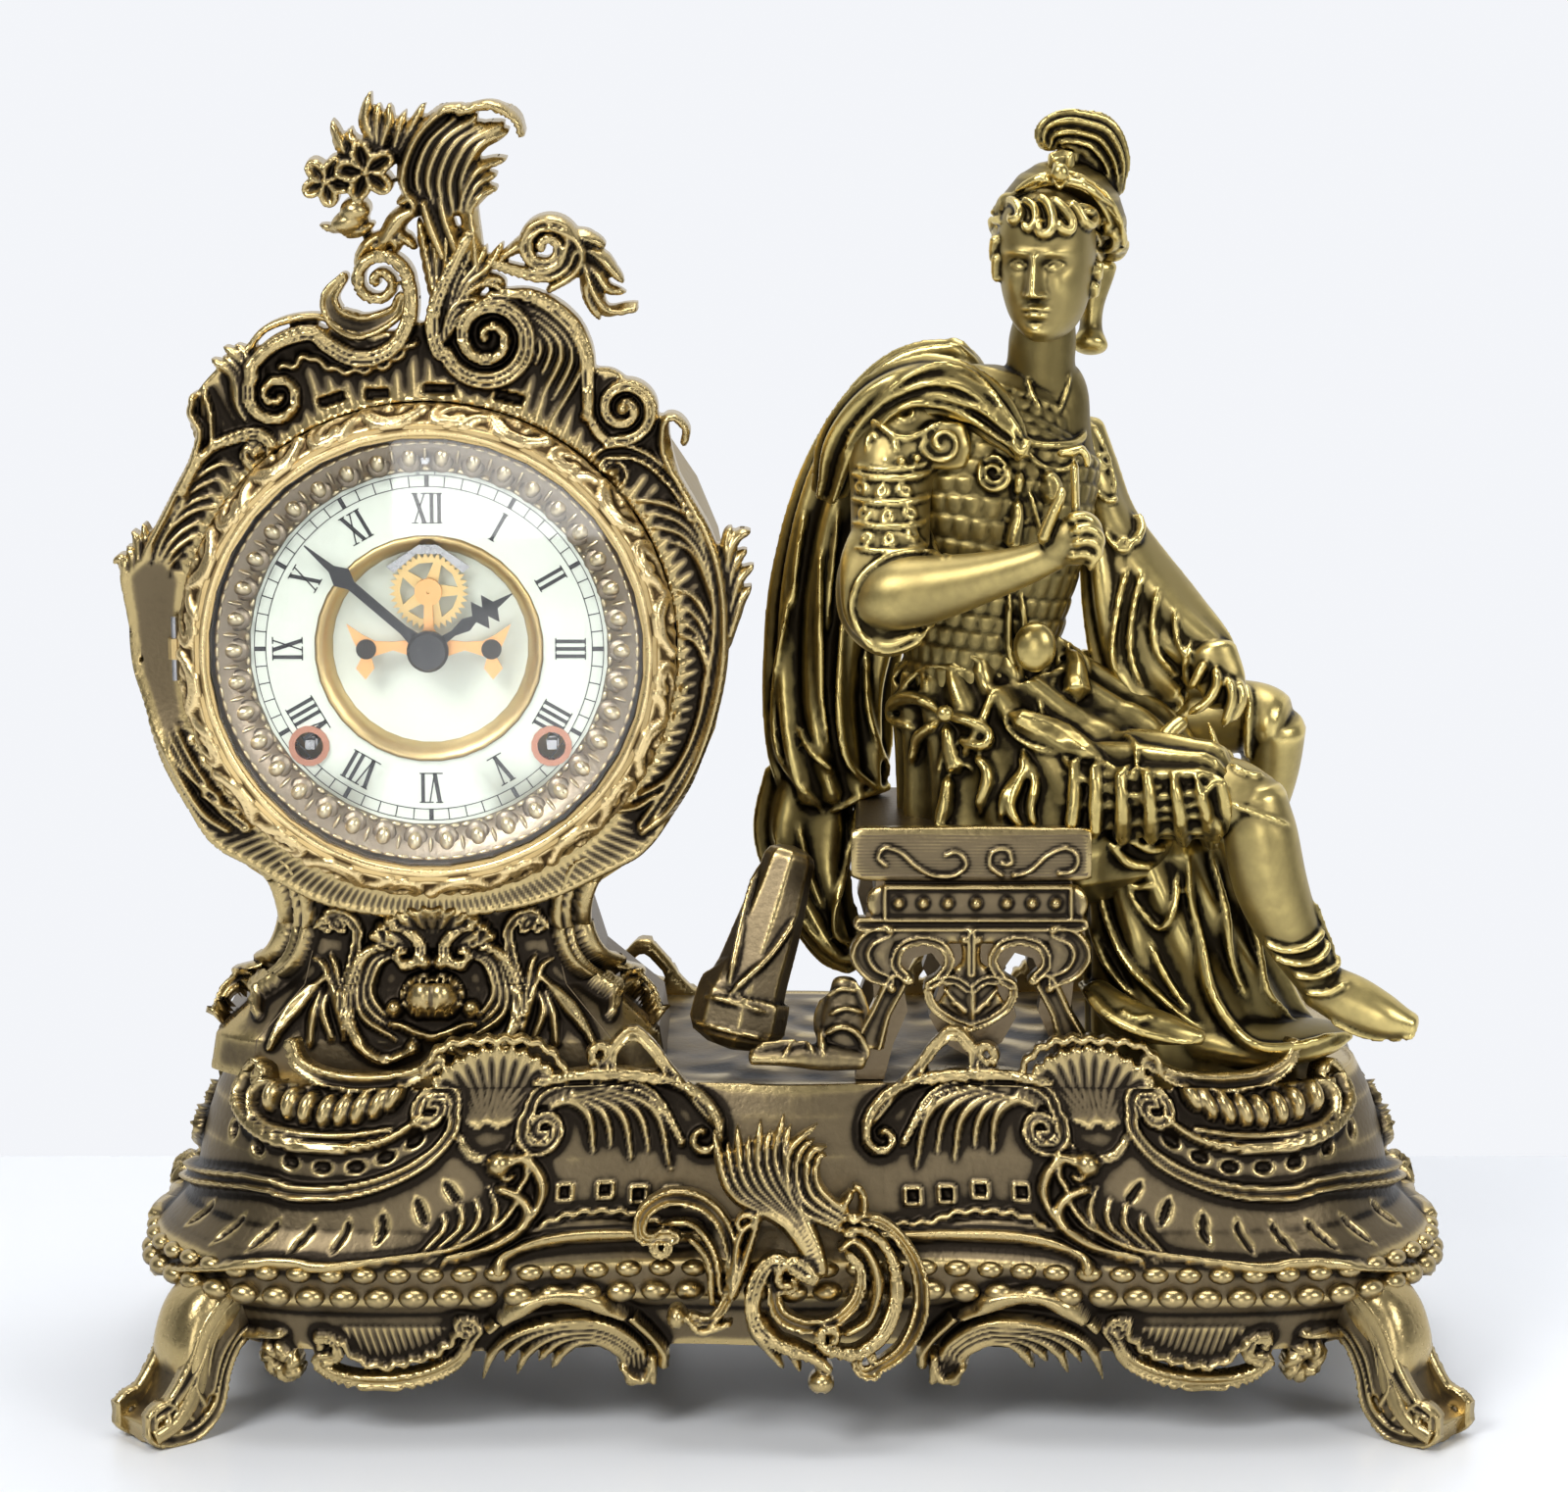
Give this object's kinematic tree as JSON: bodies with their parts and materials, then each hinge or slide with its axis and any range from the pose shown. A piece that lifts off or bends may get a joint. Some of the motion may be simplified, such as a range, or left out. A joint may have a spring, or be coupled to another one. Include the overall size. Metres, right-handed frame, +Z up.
{
  "type": "figural mantel clock",
  "caption": "Antique-style cast mantel clock with a round eight-day clock in an acanthus case and a seated helmeted classical figure on a shared footed base.",
  "frame": {"origin": "centre of the bounding box's underside, at table height between the four feet", "axes": "+Z up, -Y towards the viewer (the dial side), +X to the viewer's right, towards the figure"},
  "size_m": [0.458, 0.2042, 0.451],
  "materials": {
    "cast_brass": "aged gilt casting, dark in the hollows",
    "gilt_brass": "polished gilt, lightly aged",
    "glass": "bevelled clear glass",
    "porcelain": "glossy white enamel with black numerals",
    "copper": "polished copper colour",
    "movement_brass": "plain polished brass",
    "steel": "bright steel",
    "blued_steel": "dark tempered steel",
    "black_steel": "blackened"
  },
  "bodies": {
    "clock": {"back_plate": "movement_brass", "base_feet": "cast_brass", "base_fixing_nuts": "steel", "base_shell": "cast_brass", "case_drum": "gilt_brass", "case_front": "cast_brass", "cloak": "cast_brass", "coiled_gong": "blued_steel", "crest_flowers": "cast_brass", "crest_scrolls": "cast_brass", "dial_centre": "porcelain", "dial_inner_ring": "gilt_brass", "dial_ring": "porcelain", "dial_sash": "gilt_brass", "escapement_cock": "steel", "far_arm": "cast_brass", "far_leg": "cast_brass", "figure_head": "cast_brass", "figure_torso": "cast_brass", "front_cartouche": "cast_brass", "front_plate": "movement_brass", "gauntlet": "cast_brass", "helmet_and_plume": "cast_brass", "hinge_pins": "steel", "leaning_case": "cast_brass", "lower_drapery": "cast_brass", "mainsprings": "steel", "movement_and_cock_screws": "steel", "near_arm_with_hilt": "cast_brass", "near_leg": "cast_brass", "pedestal": "cast_brass", "pedestal_shell": "cast_brass", "pendulum_cock": "movement_brass", "plate_pillars": "movement_brass", "side_leaves": "cast_brass", "skirt_and_sash": "cast_brass", "stool_frame": "cast_brass", "stool_seat": "cast_brass", "winding_grommets": "copper"},
    "bezel": {"bezel": "gilt_brass", "bezel_glass": "glass"},
    "rear_door": {"rear_door": "gilt_brass"},
    "centre_arbor": {"minute_arbor": "steel", "minute_hand": "black_steel"},
    "minute_wheel": {"minute_wheel": "movement_brass"},
    "hour_wheel": {"hour_wheel": "movement_brass", "hour_hand": "black_steel"},
    "intermediate_wheel": {"intermediate_wheel": "movement_brass"},
    "time_great_wheel": {"time_great_wheel": "movement_brass"},
    "third_wheel": {"third_wheel": "movement_brass"},
    "escape_wheel": {"escape_wheel": "movement_brass"},
    "pendulum": {"pendulum": "movement_brass"},
    "pallets": {"pallets_and_crutch": "steel"},
    "time_winding_arbor": {"time_winding_arbor": "steel"},
    "strike_winding_arbor": {"strike_winding_arbor": "steel"},
    "strike_great_wheel": {"strike_great_wheel": "movement_brass"},
    "strike_pin_wheel": {"strike_pin_wheel": "movement_brass"},
    "strike_fly": {"strike_fly": "movement_brass"},
    "strike_hammer": {"strike_hammer": "steel"},
    "regulator": {"regulator_arbor": "steel"}
  },
  "joints": [
    {"name": "bezel_hinge", "type": "hinge", "parent": "clock", "child": "bezel", "pos_m": [-0.2072, -0.0526, 0.265], "axis": [0, 0, -1], "range_deg": [0, 105]},
    {"name": "rear_door_hinge", "type": "hinge", "parent": "clock", "child": "rear_door", "pos_m": [-0.042, 0.0406, 0.265], "axis": [0, 0, -1], "range_deg": [0, 110]},
    {"name": "hands_turn", "type": "hinge", "parent": "clock", "child": "centre_arbor", "pos_m": [-0.122, 0, 0.265], "axis": [0, -1, 0], "continuous": true},
    {"name": "minute_wheel_turn", "type": "hinge", "parent": "clock", "child": "minute_wheel", "pos_m": [-0.122, 0, 0.25283], "axis": [0, -1, 0], "continuous": true},
    {"name": "hour_hand_turn", "type": "hinge", "parent": "clock", "child": "hour_wheel", "pos_m": [-0.122, 0, 0.265], "axis": [0, -1, 0], "continuous": true},
    {"name": "intermediate_wheel_turn", "type": "hinge", "parent": "clock", "child": "intermediate_wheel", "pos_m": [-0.1013, 0, 0.25782], "axis": [0, -1, 0], "continuous": true},
    {"name": "time_great_wheel_turn", "type": "hinge", "parent": "clock", "child": "time_great_wheel", "pos_m": [-0.0812, 0, 0.232], "axis": [0, -1, 0], "continuous": true},
    {"name": "third_wheel_turn", "type": "hinge", "parent": "clock", "child": "third_wheel", "pos_m": [-0.13881, 0, 0.27522], "axis": [0, -1, 0], "continuous": true},
    {"name": "escape_wheel_turn", "type": "hinge", "parent": "clock", "child": "escape_wheel", "pos_m": [-0.122, 0, 0.2842], "axis": [0, -1, 0], "continuous": true},
    {"name": "pendulum_swing", "type": "hinge", "parent": "clock", "child": "pendulum", "pos_m": [-0.122, 0, 0.2985], "axis": [0, -1, 0], "range_deg": [-2.5, 2.5]},
    {"name": "pallets_rock", "type": "hinge", "parent": "clock", "child": "pallets", "pos_m": [-0.122, 0, 0.2985], "axis": [0, -1, 0], "range_deg": [-2.5, 2.5]},
    {"name": "time_winding_turn", "type": "hinge", "parent": "clock", "child": "time_winding_arbor", "pos_m": [-0.0812, 0, 0.232], "axis": [0, -1, 0], "continuous": true},
    {"name": "strike_winding_turn", "type": "hinge", "parent": "clock", "child": "strike_winding_arbor", "pos_m": [-0.1628, 0, 0.232], "axis": [0, -1, 0], "continuous": true},
    {"name": "strike_great_wheel_turn", "type": "hinge", "parent": "clock", "child": "strike_great_wheel", "pos_m": [-0.1628, 0, 0.232], "axis": [0, -1, 0], "continuous": true},
    {"name": "pin_wheel_turn", "type": "hinge", "parent": "clock", "child": "strike_pin_wheel", "pos_m": [-0.15712, 0, 0.26422], "axis": [0, -1, 0], "continuous": true},
    {"name": "fly_turn", "type": "hinge", "parent": "clock", "child": "strike_fly", "pos_m": [-0.15997, 0, 0.28038], "axis": [0, -1, 0], "continuous": true},
    {"name": "hammer_lift", "type": "hinge", "parent": "clock", "child": "strike_hammer", "pos_m": [-0.13, 0, 0.227], "axis": [0, -1, 0], "range_deg": [0, 12]},
    {"name": "fast_slow_turn", "type": "hinge", "parent": "clock", "child": "regulator", "pos_m": [-0.122, 0, 0.329], "axis": [0, -1, 0], "continuous": true}
  ],
  "couplings": [
    {"joint": "minute_wheel_turn", "follows": "hands_turn", "ratio": -0.33333},
    {"joint": "hour_hand_turn", "follows": "hands_turn", "ratio": 0.083333},
    {"joint": "intermediate_wheel_turn", "follows": "hands_turn", "ratio": -0.33333},
    {"joint": "time_great_wheel_turn", "follows": "hands_turn", "ratio": 0.066667},
    {"joint": "third_wheel_turn", "follows": "hands_turn", "ratio": -10},
    {"joint": "escape_wheel_turn", "follows": "hands_turn", "ratio": 130},
    {"joint": "pallets_rock", "follows": "pendulum_swing", "ratio": 1},
    {"joint": "pin_wheel_turn", "follows": "strike_great_wheel_turn", "ratio": -5},
    {"joint": "fly_turn", "follows": "strike_great_wheel_turn", "ratio": 40}
  ]
}
